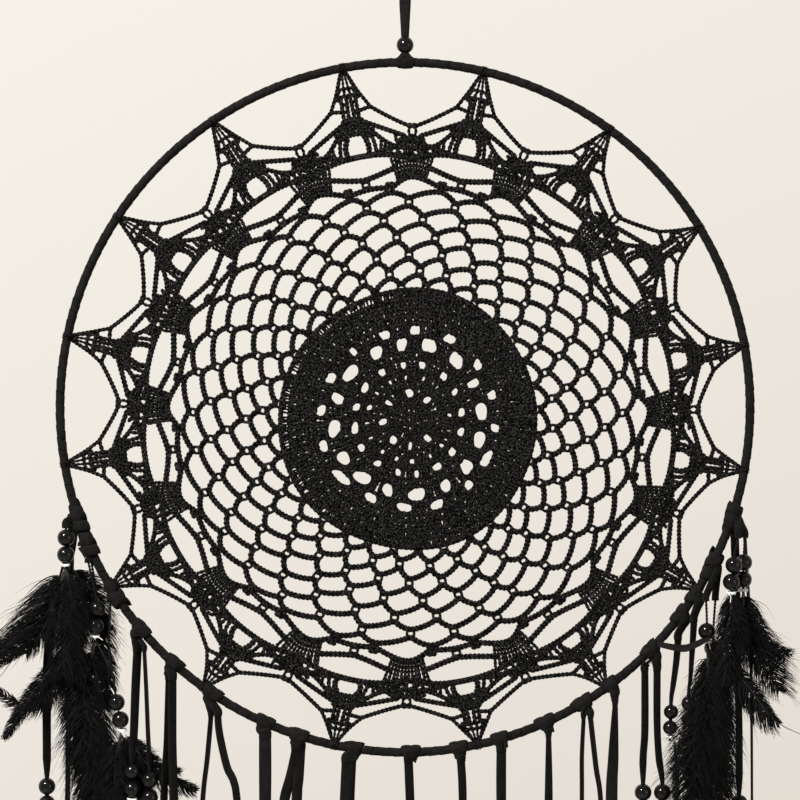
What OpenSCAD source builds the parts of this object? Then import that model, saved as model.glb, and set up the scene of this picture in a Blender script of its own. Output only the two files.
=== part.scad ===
// Dream catcher: a ribbon-wound hoop with a crocheted web, hung by a ribbon loop, with a fringe of
// ribbons and beaded feather drops. It hangs in the XZ plane and faces -Y. The origin is where a nail
// or hook bears inside the crown of the hanging loop.

/* [Hoop] */
// Outer diameter of the wound hoop
hoop_d = 400; // [396:1:404]
// Thickness of the wound hoop
hoop_t = 5; // [4.6:0.1:5.2]
// Diameter of the steel ring inside the winding
core_d = 3.4; // [2.4:0.1:3.6]

/* [Hanging loop] */
// Height from the top of the hoop to the crown of the loop
loop_h = 90; // [86:1:120]
// Inner radius of the eye that goes over a nail
eye_r = 5.5; // [4.5:0.5:6]
// Thickness of the ribbon
ribbon_t = 1; // [0.8:0.1:1.2]

/* [Web] */
// Thickness of the crochet
web_t = 2.4; // [1.6:0.2:3]
// Width of one chain of the crochet
chain_w = 2.5; // [1.8:0.1:2.8]
// Radius of the close-worked medallion
medallion_r = 74; // [70:1:76]
// Outer radius of the open net
net_r = 134; // [132:1:136]

/* [Beads] */
// Diameter of the large beads
bead_d = 9.8; // [9:0.1:9.8]
// Diameter of the small beads
small_bead_d = 8.4; // [8:0.1:8.4]

/* [Hidden] */
$fn = 48;
hoop_r = hoop_d / 2 - hoop_t / 2;     // radius of the hoop's centreline
hoop_z = -loop_h - hoop_d / 2;        // height of the hoop's centre
gap = 0.3;                            // free play between pieces that move apart
web_x = 2.5;                          // the web hangs a little off the hoop's centre
web_z = -7;
points = 16;                          // points of the web that are tied to the hoop
step = 360 / points;
string_r = 0.8;
bead_bore_r = 1.2;
binding_h = 4;
feather_t = 3;

// The ribbons of the fringe, from left to right. Each has the angle of its knot from the bottom of the
// hoop, the height of its hinge, and its tails. A tail has a width, a depth and its route: points of
// x and z, measured from the centre of the hoop.
ribbons = [
  [-50, -139, [[5, -3, [[-153, -140], [-154, -160], [-155, -186], [-156, -202]]],
               [3, -3, [[-149, -140], [-148, -160], [-147, -185], [-146, -207]]]]],
  [-42, -155, [[4, -2, [[-135, -156], [-136, -190], [-138, -230], [-137, -330], [-138, -450], [-137, -600]]],
               [5, -4, [[-133, -156], [-133, -190], [-132, -230], [-131, -330], [-133, -450],
                        [-132, -585]]]]],
  [-34, -176, [[5, -3, [[-111, -177], [-113, -200], [-116, -230], [-118, -300], [-117, -450], [-118, -640]]],
               [5, -3, [[-107, -177], [-106, -187], [-102, -205], [-96, -225], [-95, -300], [-96, -440],
                        [-95, -610]]]]],
  [-24, -188, [[7, -3, [[-80, -189], [-80, -230], [-81, -330], [-80, -470], [-81, -665]]]]],
  [-18, -195, [[6, -4, [[-62, -196], [-65, -210], [-69, -225], [-71, -250], [-72, -320], [-71, -480],
                        [-72, -690]]],
               [6, -2, [[-60, -196], [-61, -212], [-62, -230], [-62, -320], [-61, -480], [-62, -650]]]]],
  [-8.5, -202, [[6, -4, [[-33, -203], [-34, -225], [-36, -260], [-37, -350], [-36, -500], [-37, -700]]],
                [6, -2, [[-31, -203], [-32, -228], [-31, -262], [-30, -350], [-31, -500], [-30, -715]]]]],
  [1, -202, [[5, -3, [[2, -203], [3, -228], [4, -260], [3, -400], [4, -560], [3, -720]]]]],
  [9, -202, [[6, -3, [[32, -203], [33, -230], [33, -330], [32, -500], [33, -700]]]]],
  [16, -196, [[7, -3, [[55, -197], [55, -230], [56, -330], [55, -500], [56, -690]]]]],
  [24, -188, [[6, -3, [[82, -189], [82, -230], [81, -330], [82, -500], [81, -670]]]]],
  [31, -177, [[5, -3, [[102, -178], [101, -200], [101, -230], [100, -330], [101, -480], [100, -650]]],
              [2, -3, [[106, -178], [109, -205], [112, -230], [112, -300], [111, -450], [112, -615]]]]],
  [36.5, -170, [[5, -3, [[120, -171], [119, -200], [118, -230], [119, -330], [118, -460], [119, -610]]]]],
  [45.4, -150, [[6, -3, [[137, -151], [137, -185], [136, -200], [136, -214]]],
                [6, -3, [[144, -151], [144, -180], [145, -200], [147, -214]]]]],
  [53, -132, [[5, -3, [[156, -133], [155, -145], [153, -160], [152, -168]]]]],
  [57, -122, [[5, -3, [[165, -123], [164, -140], [163, -155], [162, -164]]]]],
];

// The beads of each beaded ribbon: its number, then [x, z, diameter] of each bead, a list for a tail.
ribbon_beads = [
  [1, [[-156, -208, bead_d], [-156, -218, bead_d]]],
  [1, [[-146, -213, bead_d], [-146, -223, bead_d]]],
  [13, [[136, -220, bead_d], [136, -230, bead_d]]],
  [13, [[147, -220, bead_d], [147, -230, bead_d]]],
  [14, [[152, -174, small_bead_d], [151.5, -183, small_bead_d]]],
  [15, [[162, -169, small_bead_d], [162, -178, small_bead_d]]],
];

// The side drops. Each has the angle of its strap from the bottom of the hoop, the x and the height of
// its hinge, and the depth, route and beads of each of its strings.
drops = [
  ["left_outer", -71.5, -193.5, -68,
    [[-6, [[-193.5, -68.6], [-193.5, -76], [-194, -93]], [[-193.5, -74.4, bead_d], [-193.7, -84, bead_d]]],
     [1.5, [[-192, -68.6], [-191, -100], [-192, -136.6]], [[-191, -118, bead_d], [-191.7, -127.7, bead_d]]]]],
  ["left_inner", -67, -181, -88,
    [[-3, [[-181, -88.6], [-178, -102], [-176, -115], [-177, -125], [-177.4, -134]],
          [[-176, -115, bead_d], [-177, -125, bead_d]]],
     [4, [[-180, -88.6], [-177, -110], [-176, -150], [-176.5, -177]], [[-176.3, -168.6, small_bead_d]]]]],
  ["left_lower", -57, -168.5, -110,
    [[-3, [[-168.5, -110.6], [-169, -140], [-166, -160], [-165, -168.6], [-162.7, -178.5], [-162, -187.6]],
          [[-165, -168.6, bead_d], [-162.7, -178.5, bead_d]]]]],
  ["right_inner", 63, 176, -110,
    [[-3, [[172, -110.6], [172.4, -120], [172.6, -137]], [[172.4, -128, bead_d]]],
     [4, [[178, -110.6], [177, -125], [176.4, -147]], [[176.4, -138, bead_d]]]]],
  ["right_outer", 71.5, 192, -74,
    [[-5, [[190, -74.6], [188, -84], [187.7, -90], [186.2, -99.7], [186, -109]],
          [[187.7, -90, bead_d], [186.2, -99.7, bead_d]]],
     [5, [[195, -74.6], [194.5, -84], [194.3, -89], [194, -108]],
         [[194.4, -89, bead_d], [194.2, -98.8, bead_d]]]]],
];

// The long ribbons beside the outer drops: drop, then the tails as for the fringe.
side_ribbons = [
  ["left_outer", [[5, 9, [[-197, -69], [-202, -100], [-205, -130], [-206, -160], [-206, -211]]],
                  [3, 12, [[-192, -69], [-193, -120], [-194, -180], [-195, -300], [-194, -400],
                           [-195, -520]]]]],
  ["right_outer", [[5, 12, [[190, -75], [191, -110], [192, -160], [192.5, -190], [192.5, -221]]],
                   [3, 14, [[196, -75], [199, -130], [200, -200], [200, -320], [199, -430], [200, -530]]]]],
];
side_beads = [
  ["left_outer", [[-206, -218, bead_d], [-206, -228, bead_d]]],
  ["right_outer", [[192.5, -228, bead_d], [192.5, -238, bead_d]]],
];

// Feathers that lie flat in the XZ plane: half width, depth, and route from the quill to the tip.
flat_feathers = [
  ["left_outer", 9, -12, [[-196, -94], [-208, -115], [-226, -136], [-243, -148]]],
  ["left_outer", 7, -7.5, [[-194, -94], [-193, -120], [-192, -165]]],
  ["left_outer", 6, 0, [[-194, -138], [-197, -158], [-212, -174], [-232, -176]]],
  ["left_outer", 6, 4, [[-191, -138], [-191, -165], [-190, -205]]],
  ["left_inner", 5, -3, [[-177.5, -135], [-178, -170], [-178, -215]]],
  ["left_lower", 4, -3, [[-162.5, -189], [-167, -213], [-168, -262]]],
  ["right_inner", 6, -1, [[175.5, -148.5], [174.5, -190], [174, -254]]],
  ["right_outer", 5, -6, [[188, -110], [190, -130], [191, -160]]],
  ["right_outer", 8, 5, [[195, -110], [201, -135], [214, -160]]],
  ["right_outer", 7, -1, [[191, -110], [193, -143], [204, -174], [224, -186]]],
];

// Feathers that hang edge on below the lower beads: x, depth, top and bottom.
edge_feathers = [
  ["ribbon_01", -156, -3, -226, -330], ["ribbon_01", -146, -3, -231, -336],
  ["ribbon_13", 136, -3, -238, -342], ["ribbon_13", 147, -3, -238, -336],
  ["ribbon_14", 154, -3, -191, -276], ["ribbon_15", 162, -3, -186, -272],
  ["left_outer", -206, 9, -236, -340], ["right_outer", 192.5, 12, -246, -348],
];
edge_feather_half_w = 11;

function two_digits(n) = n < 10 ? str("0", n) : str(n);
function ribbon_name(n) = str("ribbon_", two_digits(n));
drop_names = [for (d = drops) d[0]];
beaded_ribbons = [1, 13, 14, 15];

// A smooth route through hand-placed points, with four steps from each point to the next.
function at(p, i) = p[max(0, min(len(p) - 1, i))];
function spline(a, b, c, d, t) = 0.5 * (2 * b + (c - a) * t + (2 * a - 5 * b + 4 * c - d) * t * t
                                        + (3 * b - a - 3 * c + d) * t * t * t);
function smooth(p) = concat(
  [for (i = [0:len(p) - 2], k = [0:3]) spline(at(p, i - 1), p[i], p[i + 1], at(p, i + 2), k / 4)],
  [p[len(p) - 1]]);

// A tube of eight sides along points in space that run downwards.
module tube(path, r) {
  sides = 8;
  rings = len(path);
  vertices = [for (p = path, s = [0:sides - 1]) p + r * [cos(s * 360 / sides), sin(s * 360 / sides), 0]];
  walls = [for (i = [0:rings - 2], s = [0:sides - 1])
    [i * sides + s, i * sides + (s + 1) % sides, (i + 1) * sides + (s + 1) % sides, (i + 1) * sides + s]];
  top = [for (s = [sides - 1:-1:0]) s];
  bottom = [for (s = [0:sides - 1]) (rings - 1) * sides + s];
  polyhedron(vertices, concat([top], walls, [bottom]), convexity = 4);
}

// Extrudes an outline in the XZ plane, measured from the hoop's centre, to thickness t at depth y.
module upright(y, t) {
  translate([0, y + t / 2, hoop_z])
    rotate([90, 0, 0])
      linear_extrude(t) children();
}

module strip(width, y, route) {
  line = smooth(route);
  count = len(line);
  upright(y, ribbon_t)
    polygon(concat([for (p = line) [p.x - width / 2, p.y]],
                   [for (i = [count - 1:-1:0]) [line[i].x + width / 2, line[i].y]]));
}

module bead(x, y, z, d, bore = bead_bore_r) {
  translate([x, y, hoop_z + z])
    difference() {
      sphere(d = d);
      cylinder(r = bore, h = d + 2, center = true);
    }
}

// Thread wound round the foot of a string, where the quills are tied in.
module binding(x, y, top) {
  translate([x, y, hoop_z + top - binding_h])
    difference() {
      cylinder(r = 2, h = binding_h);
      translate([0, 0, -1]) cylinder(r = string_r + 0.15, h = binding_h + 2);
    }
}

// Half the width of a feather at t, from 0 at its quill to 1 at its tip.
function leaf_half_w(half_w, t) = 0.8 + (half_w - 0.8) * pow(max(0, sin(180 * pow(t, 0.8))), 0.8);

// A feather's outline: a leaf round a smooth centreline.
module flat_feather(half_w, y, route) {
  line = smooth(route);
  last = len(line) - 1;
  function side(i, s) =
    let (d = line[min(last, i + 1)] - line[max(0, i - 1)],
         w = leaf_half_w(half_w, i / last))
    line[i] + s * w * [-d.y, d.x] / norm(d);
  upright(y, feather_t)
    polygon(concat([for (i = [0:last]) side(i, 1)], [for (i = [last:-1:0]) side(i, -1)]));
}

module edge_feather(x, y, top, bottom) {
  steps = 12;
  half = [for (i = [0:steps]) leaf_half_w(edge_feather_half_w, i / steps)];
  translate([x - feather_t / 2, y, hoop_z])
    rotate([90, 0, 90])
      linear_extrude(feather_t)
        polygon(concat([for (i = [0:steps]) [half[i], top + (bottom - top) * i / steps]],
                       [for (i = [steps:-1:0]) [-half[i], top + (bottom - top) * i / steps]]));
}

module sector_sleeve(angle, length, r_in, r_out) {
  spread = length / hoop_r * 180 / PI;
  translate([0, 0, hoop_z])
    rotate([90, 0, 0])
      rotate([0, 0, angle - 90 - spread / 2])
        rotate_extrude(angle = spread)
          translate([hoop_r, 0])
            difference() {
              circle(r = r_out);
              circle(r = r_in);
            }
}

// The eye that goes over a nail, and below it two layers of ribbon that run down through the bead.
leg_w = 3.6;
leg_foot = -loop_h + 2.1;
eye_tip = -38;
module teardrop(r, tip) {
  a = asin(r / (-eye_r - tip));
  translate([0, -eye_r]) circle(r = r);
  polygon([[0, tip], [r * cos(a), -eye_r - r * sin(a)], [-r * cos(a), -eye_r - r * sin(a)]]);
}
module hanging_loop() {
  color("#1c1c1e") {
    translate([0, 3, 0])
      rotate([90, 0, 0])
        linear_extrude(6)
          difference() {
            teardrop(eye_r + ribbon_t, eye_tip - 6);
            teardrop(eye_r, eye_tip);
          }
    translate([-leg_w / 2, -ribbon_t, leg_foot])
      cube([leg_w, 2 * ribbon_t, eye_tip - 3 - leg_foot]);
  }
}

module top_bead() {
  color("#0c0c0e") bead(0, 0, hoop_d / 2 + 7.4, bead_d, 2.4);
}

module loop_knot() {
  top = -loop_h + 1.8;
  wrap_z = hoop_z + hoop_r;
  color("#1c1c1e")
    difference() {
      translate([0, 3.6, 0])
        rotate([90, 0, 0])
          linear_extrude(7.2)
            polygon([[-2, top], [2, top], [8, wrap_z + 1.5], [8, wrap_z - 3.6], [-8, wrap_z - 3.6],
                     [-8, wrap_z + 1.5]]);
      translate([-10, 0, wrap_z])
        rotate([0, 90, 0])
          cylinder(r = hoop_t / 2 + gap, h = 20);
    }
}

module ring(r_in, r_out) {
  translate([0, 0, hoop_z])
    rotate([90, 0, 0])
      rotate_extrude()
        translate([hoop_r, 0])
          difference() {
            circle(r = r_out);
            if (r_in > 0) circle(r = r_in);
          }
}
module hoop_core() {
  color("#8a8c90") ring(0, core_d / 2);
}
module hoop_winding() {
  color("#1a1a1c") ring(core_d / 2 + 0.1, hoop_t / 2);
}

// The web. Angles run from the top, and radii from the web's own centre.
function polar(r, a) = [web_x + r * sin(a), web_z + r * cos(a)];
function reach(a) =
  let (along = web_x * sin(a) + web_z * cos(a), limit = hoop_r - hoop_t / 2 - 0.4)
  -along + sqrt(along * along - web_x * web_x - web_z * web_z + limit * limit);
module web_hole(r, a, half_r, half_a) {
  polygon([polar(r - half_r, a), polar(r, a - half_a), polar(r + half_r, a), polar(r, a + half_a)]);
}
module crochet_medallion() {
  color("#161618")
    upright(0, web_t)
      difference() {
        translate([web_x, web_z]) circle(r = medallion_r);
        for (k = [0:7]) web_hole(15, (k + 0.5) * 45, 2.2, 9);
        for (k = [0:points - 1]) web_hole(30, k * step, 2.4, 5);
        for (k = [0:points - 1]) web_hole(43, (k + 0.5) * step, 4.5, 6.5);
        for (k = [0:points - 1]) web_hole(51.5, k * step, 2.6, 3);
      }
}

net_rows = 6;
net_pitch = (net_r - medallion_r - chain_w) / (net_rows + 1);
module crochet_net() {
  cells = 2 * points;
  color("#161618")
    upright(0, web_t)
      difference() {
        translate([web_x, web_z]) circle(r = net_r);
        translate([web_x, web_z]) circle(r = medallion_r + 0.05);
        for (row = [1:net_rows], k = [0:cells - 1]) {
          r = medallion_r + chain_w / 2 + row * net_pitch;
          web_hole(r, (k + (row % 2) / 2) * 360 / cells, net_pitch - chain_w * 0.8,
                   180 / cells - chain_w * 0.8 / r * 180 / PI);
        }
      }
}

// Sixteen worked points on a ring of fans. Each point runs out to the hoop, with open arms beside it.
valley_r = 166;
module crochet_border() {
  outline = [for (k = [0:points - 1])
    each let (a = (k + 0.5) * step)
      [polar(valley_r, a - step / 2), polar(172, a - step * 0.24), polar(183, a - step * 0.1),
       polar(reach(a - 0.4), a - 0.4), polar(reach(a + 0.4), a + 0.4),
       polar(183, a + step * 0.1), polar(172, a + step * 0.24)]];
  color("#161618")
    upright(0, web_t)
      difference() {
        polygon(outline);
        translate([web_x, web_z]) circle(r = net_r + 0.05);
        for (k = [0:points - 1]) {
          a = (k + 0.5) * step;
          polygon([polar(143, a - 5.6), polar(139.5, a), polar(143, a + 5.6), polar(150, a + 3),
                   polar(150, a - 3)]);
          web_hole(160, a, 4.2, 1.3);
          for (s = [-1, 1])
            polygon([polar(161, a + s * 10.2), polar(159, a + s * 5), polar(166, a + s * 3.4),
                     polar(164, a + s * 8)]);
        }
      }
}

module web_ties() {
  color("#121214")
    for (k = [0:points - 1]) {
      a = (k + 0.5) * step;
      tip = polar(reach(a), a);
      sector_sleeve(atan2(tip.x, -tip.y), 2.4, hoop_t / 2 + 0.05, hoop_t / 2 + 0.9);
    }
}

// A ribbon's knot: a sleeve round the hoop, and a fold in front of it that ends in a round edge on the
// tail's hinge.
knot_r = hoop_t / 2 + 1;
knot_w = 8.4;
fold_y = -3.3;
fold_t = 1.2;
module fold(x, width, hinge, outline) {
  upright(fold_y, fold_t) polygon(outline);
  translate([x - width / 2, fold_y, hoop_z + hinge])
    rotate([0, 90, 0])
      cylinder(r = fold_t / 2, h = width);
}
module stub(x, width, hinge) {
  top = -sqrt(hoop_r * hoop_r - x * x);
  side = width / 2;
  fold(x, width, hinge, [[x - side, hinge], [x + side, hinge], [x + side, top], [x - side, top]]);
}
module ribbon_knots() {
  color("#1c1c1e")
    for (ribbon = ribbons) {
      sector_sleeve(ribbon[0], knot_w, hoop_t / 2 + 0.05, knot_r);
      for (tail = ribbon[2]) stub(tail[2][0].x, min(tail[0], 4), ribbon[1] + gap);
    }
}

// A strap wound round the hoop, with a fold that reaches out to the drop's hinge.
strap_w = 8;
strap_wound_w = 12;
module drop_straps() {
  color("#1c1c1e")
    for (drop = drops) {
      hinge = drop[3] + gap;
      x = hoop_r * sin(drop[1]);
      z = -hoop_r * cos(drop[1]);
      sector_sleeve(drop[1], strap_wound_w, hoop_t / 2 + 0.05, knot_r);
      fold(drop[2], strap_w, hinge,
           [[drop[2] - strap_w / 2, hinge], [drop[2] + strap_w / 2, hinge], [x + 3, z], [x - 3, z + 1]]);
    }
}

// A beaded tail goes on through its beads as a drawn-in cord, down to its binding.
module tail_cord(y, beads) {
  first = beads[0];
  last = beads[len(beads) - 1];
  top = first[1] + first[2] / 2 + 1;
  foot = last[1] - last[2] / 2 - binding_h - 1;
  tube([[first[0], y, hoop_z + top], [first[0], y, hoop_z + first[1]], [last[0], y, hoop_z + last[1]],
        [last[0], y, hoop_z + foot]], string_r);
}
module ribbon(n) {
  color("#1c1c1e") {
    for (tail = ribbons[n - 1][2]) strip(tail[0], tail[1], tail[2]);
    for (b = ribbon_beads) if (b[0] == n) tail_cord(-3, b[1]);
  }
}
module long_ribbons(drop) {
  color("#1c1c1e") {
    for (side = side_ribbons) if (side[0] == drop) for (tail = side[1]) strip(tail[0], tail[1], tail[2]);
    for (b = side_beads) if (b[0] == drop) tail_cord(side_depth(drop), b[1]);
  }
}
function side_depth(drop) = [for (side = side_ribbons) if (side[0] == drop) side[1][0][1]][0];
function foot_of(beads) = let (last = beads[len(beads) - 1]) last[1] - last[2] / 2 - 0.4;

module ribbon_bead_set(n) {
  color("#0c0c0e")
    for (b = ribbon_beads) if (b[0] == n) for (p = b[1]) bead(p[0], -3, p[1], p[2]);
}
module ribbon_bindings(n) {
  color("#e6e3dc")
    for (b = ribbon_beads) if (b[0] == n) binding(b[1][len(b[1]) - 1][0], -3, foot_of(b[1]));
}
module hung_feathers(owner) {
  color("#101012") {
    for (f = flat_feathers) if (f[0] == owner) flat_feather(f[1], f[2], f[3]);
    for (f = edge_feathers) if (f[0] == owner) edge_feather(f[1], f[2], f[3], f[4]);
  }
}

module drop_strings(drop) {
  color("#1c1c1e")
    for (s = drop[4]) tube([for (p = smooth(s[1])) [p.x, s[0], hoop_z + p.y]], string_r);
}
module drop_beads(drop) {
  color("#0c0c0e") {
    for (s = drop[4], p = s[2]) bead(p[0], s[0], p[1], p[2], 1.5);
    for (b = side_beads) if (b[0] == drop[0]) for (p = b[1]) bead(p[0], side_depth(drop[0]), p[1], p[2]);
  }
}
module drop_bindings(drop) {
  color("#e6e3dc") {
    for (s = drop[4]) let (foot = s[1][len(s[1]) - 1]) binding(foot.x, s[0], foot.y + binding_h - 0.6);
    for (b = side_beads) if (b[0] == drop[0])
      binding(b[1][len(b[1]) - 1][0], side_depth(drop[0]), foot_of(b[1]));
  }
}

hanging_loop();
top_bead();
loop_knot();
hoop_core();
hoop_winding();
crochet_medallion();
crochet_net();
crochet_border();
web_ties();
ribbon_knots();
drop_straps();
for (n = [1:len(ribbons)]) ribbon(n);
for (n = beaded_ribbons) {
  ribbon_bead_set(n);
  ribbon_bindings(n);
  hung_feathers(ribbon_name(n));
}
for (drop = drops) {
  drop_strings(drop);
  drop_beads(drop);
  drop_bindings(drop);
  hung_feathers(drop[0]);
}
long_ribbons("left_outer");  // left_long_ribbons
long_ribbons("right_outer");  // right_long_ribbons
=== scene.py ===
"""A dream catcher: a ribbon-wound hoop with a crocheted web, a fringe of ribbons, and beaded feather drops.

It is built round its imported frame. Lengths are in metres and angles in degrees, unless a name says otherwise.
The object hangs in the XZ plane, faces -Y, and hangs from the origin. Routes of x and z are measured from the
centre of the hoop in millimetres, and angles on the web run clockwise from the top.
"""

import math
import random

import bpy
import numpy as np
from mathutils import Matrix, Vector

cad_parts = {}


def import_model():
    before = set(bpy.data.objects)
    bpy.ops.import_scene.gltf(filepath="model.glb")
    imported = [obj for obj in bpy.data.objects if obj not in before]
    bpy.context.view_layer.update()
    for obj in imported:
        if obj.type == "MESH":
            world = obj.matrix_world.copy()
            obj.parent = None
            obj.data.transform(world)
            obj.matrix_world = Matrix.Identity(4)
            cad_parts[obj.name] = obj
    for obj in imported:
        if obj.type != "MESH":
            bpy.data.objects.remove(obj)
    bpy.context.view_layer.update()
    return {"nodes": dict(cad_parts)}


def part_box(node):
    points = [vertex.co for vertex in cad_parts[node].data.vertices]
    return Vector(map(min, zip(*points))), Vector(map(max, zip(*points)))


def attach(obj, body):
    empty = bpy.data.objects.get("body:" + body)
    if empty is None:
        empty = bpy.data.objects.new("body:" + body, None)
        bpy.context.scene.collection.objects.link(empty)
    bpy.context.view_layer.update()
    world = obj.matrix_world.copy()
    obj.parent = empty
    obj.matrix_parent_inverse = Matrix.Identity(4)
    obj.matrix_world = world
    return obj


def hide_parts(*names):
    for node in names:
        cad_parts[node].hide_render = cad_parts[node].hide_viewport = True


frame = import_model()

MM = 0.001
RIBBON_W = 7 * MM
RIBBON_T = 0.8 * MM
GATHERED_W = 2.1 * MM
GATHERED_T = 1.9 * MM
GATHER = 11 * MM
BORE_R = 1.25 * MM
BEAD_D = 9.8 * MM
SMALL_BEAD_D = 8.4 * MM

hoop_low, hoop_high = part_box("hoop_winding")
HOOP_Z = (hoop_low.z + hoop_high.z) / 2
HOOP_T = hoop_high.y - hoop_low.y
HOOP_R = (hoop_high.x - hoop_low.x - HOOP_T) / 2
web_low, web_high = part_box("crochet_medallion")
WEB_X = (web_low.x + web_high.x) / 2
WEB_Z = (web_low.z + web_high.z) / 2
POINTS = 16
STEP = 360 / POINTS
Y_AXIS = np.array([0.0, 1.0, 0.0])
X_AXIS = np.array([1.0, 0.0, 0.0])


# ---- routes


def smooth(points, steps):
    """A curve through given points, with so many steps from each to the next."""
    p = np.array(points, float)
    p = np.vstack([2 * p[0] - p[1], p, 2 * p[-1] - p[-2]])
    t = (np.arange(steps) / steps)[:, None]
    a, b, c, d = p[:-3, None], p[1:-2, None], p[2:-1, None], p[3:, None]
    curve = 2 * b + (c - a) * t + (2 * a - 5 * b + 4 * c - d) * t**2 + (3 * b - a - 3 * c + d) * t**3
    return np.vstack([0.5 * curve.reshape(-1, p.shape[1]), p[-2:-1]])


def run_of(path):
    """The distance along a path at each of its points."""
    return np.concatenate([[0], np.cumsum(np.linalg.norm(np.diff(path, axis=0), axis=1))])


def resample(path, count):
    """The same path with its points evenly spaced."""
    run = run_of(path)
    at = np.linspace(0, run[-1], count)
    return np.stack([np.interp(at, run, path[:, k]) for k in range(path.shape[1])], 1)


def unit(v):
    return v / np.maximum(np.linalg.norm(v, axis=-1, keepdims=True), 1e-12)


def tangents(path):
    return unit(np.gradient(path, axis=0))


def in_space(route, depth):
    """A route of x and z at a depth, in millimetres from the hoop's centre, as points in metres."""
    route = np.array(route, float)
    return np.stack([route[:, 0], np.full(len(route), depth), route[:, 1]], 1) * MM + [0, 0, HOOP_Z]


# ---- solids


class Solid:
    """Gathers the faces of one piece."""

    def __init__(self):
        self.points, self.quads, self.ends, self.count = [], [], [], 0

    def loft(self, rings, closed=False):
        """Joins rings of points, an array of (ring, point, xyz). Caps the ends unless it is closed."""
        rows, sides = rings.shape[:2]
        first = self.count
        i = np.arange(rows if closed else rows - 1)[:, None]
        s = np.arange(sides)[None, :]
        j, n = (i + 1) % rows, (s + 1) % sides
        quads = np.stack([i * sides + s, i * sides + n, j * sides + n, j * sides + s], -1)
        self.points.append(rings.reshape(-1, 3))
        self.quads.append(quads.reshape(-1, 4) + first)
        self.count += rows * sides
        if not closed:
            self.ends.append(first + np.arange(sides)[::-1])
            self.ends.append(first + (rows - 1) * sides + np.arange(sides))

    def tube(self, path, radius, sides=6, across=Y_AXIS):
        """A round tube along a path. radius is one number or one for each point."""
        along = tangents(path)
        side = unit(np.cross(along, across))
        up = np.cross(side, along)
        turn = 2 * np.pi * np.arange(sides) / sides
        r = np.broadcast_to(radius, len(path))[:, None, None]
        rim = np.cos(turn)[None, :, None] * side[:, None] + np.sin(turn)[None, :, None] * up[:, None]
        self.loft(path[:, None] + r * rim)

    def strip(self, path, across, width, thick=RIBBON_T, cup=0.0):
        """A flat ribbon with rounded edges. across is the direction of its width at each point."""
        along = tangents(path)
        across = unit(across - (across * along).sum(1, keepdims=True) * along)
        through = np.cross(along, across)
        half = np.broadcast_to(width, len(path))[:, None] / 2
        t = np.broadcast_to(thick, len(path))[:, None] / 2
        share = np.array([-1, -0.9, -0.45, 0, 0.45, 0.9, 1, 0.9, 0.45, 0, -0.45, -0.9])
        face = np.array([0, 0.8, 1, 1, 1, 0.8, 0, -0.8, -1, -1, -1, -0.8])
        a = half * share
        b = t * face + cup * half * (1 - share**2)
        self.loft(path[:, None] + a[..., None] * across[:, None] + b[..., None] * through[:, None])

    def bead(self, centre, d, bore):
        """A round bead with a rounded hole along Z."""
        tip = math.asin((2 * bore + 0.5 * MM) / d)
        angles = np.linspace(tip, math.pi - tip, 17)
        outer = np.stack([d / 2 * np.sin(angles), d / 2 * np.cos(angles)], 1)
        inner = np.array([[bore, -0.36], [bore, 0], [bore, 0.36]]) * [1, d]
        profile = np.vstack([outer, inner])
        turn = 2 * np.pi * np.arange(28) / 28
        r, z = profile[:, None, 0], profile[:, None, 1]
        rings = np.stack([r * np.cos(turn), r * np.sin(turn), z + 0 * turn], -1)
        self.loft(np.array(centre) + rings[:, ::-1], closed=True)

    def piece(self, name, material):
        """Its mesh as a Blender object."""
        points = np.vstack(self.points).astype(np.float32)
        quads = np.vstack(self.quads)
        corners = np.concatenate([quads.ravel(), *self.ends]) if self.ends else quads.ravel()
        sizes = np.concatenate([np.full(len(quads), 4), [len(e) for e in self.ends]]).astype(np.int32)
        starts = np.concatenate([[0], np.cumsum(sizes)[:-1]]).astype(np.int32)
        mesh = bpy.data.meshes.new(name)
        mesh.vertices.add(len(points))
        mesh.vertices.foreach_set("co", points.ravel())
        mesh.loops.add(len(corners))
        mesh.loops.foreach_set("vertex_index", corners.astype(np.int32))
        mesh.polygons.add(len(sizes))
        mesh.polygons.foreach_set("loop_start", starts)
        mesh.update(calc_edges=True)
        mesh.validate()
        mesh.shade_smooth()
        mesh.materials.append(material)
        return new_object(name, mesh)


def new_object(name, data):
    item = bpy.data.objects.new(name, data)
    bpy.context.scene.collection.objects.link(item)
    return item


def place(solid, name, finish, body, *nodes):
    """Makes a piece in the material of its finish, a material and slot; the slot is not used. It rides on its
    body and replaces its CAD nodes.
    """
    material, slot = finish
    piece = solid.piece(name, material)
    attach(piece, body)
    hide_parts(*nodes)
    return piece


# ---- materials


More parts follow.
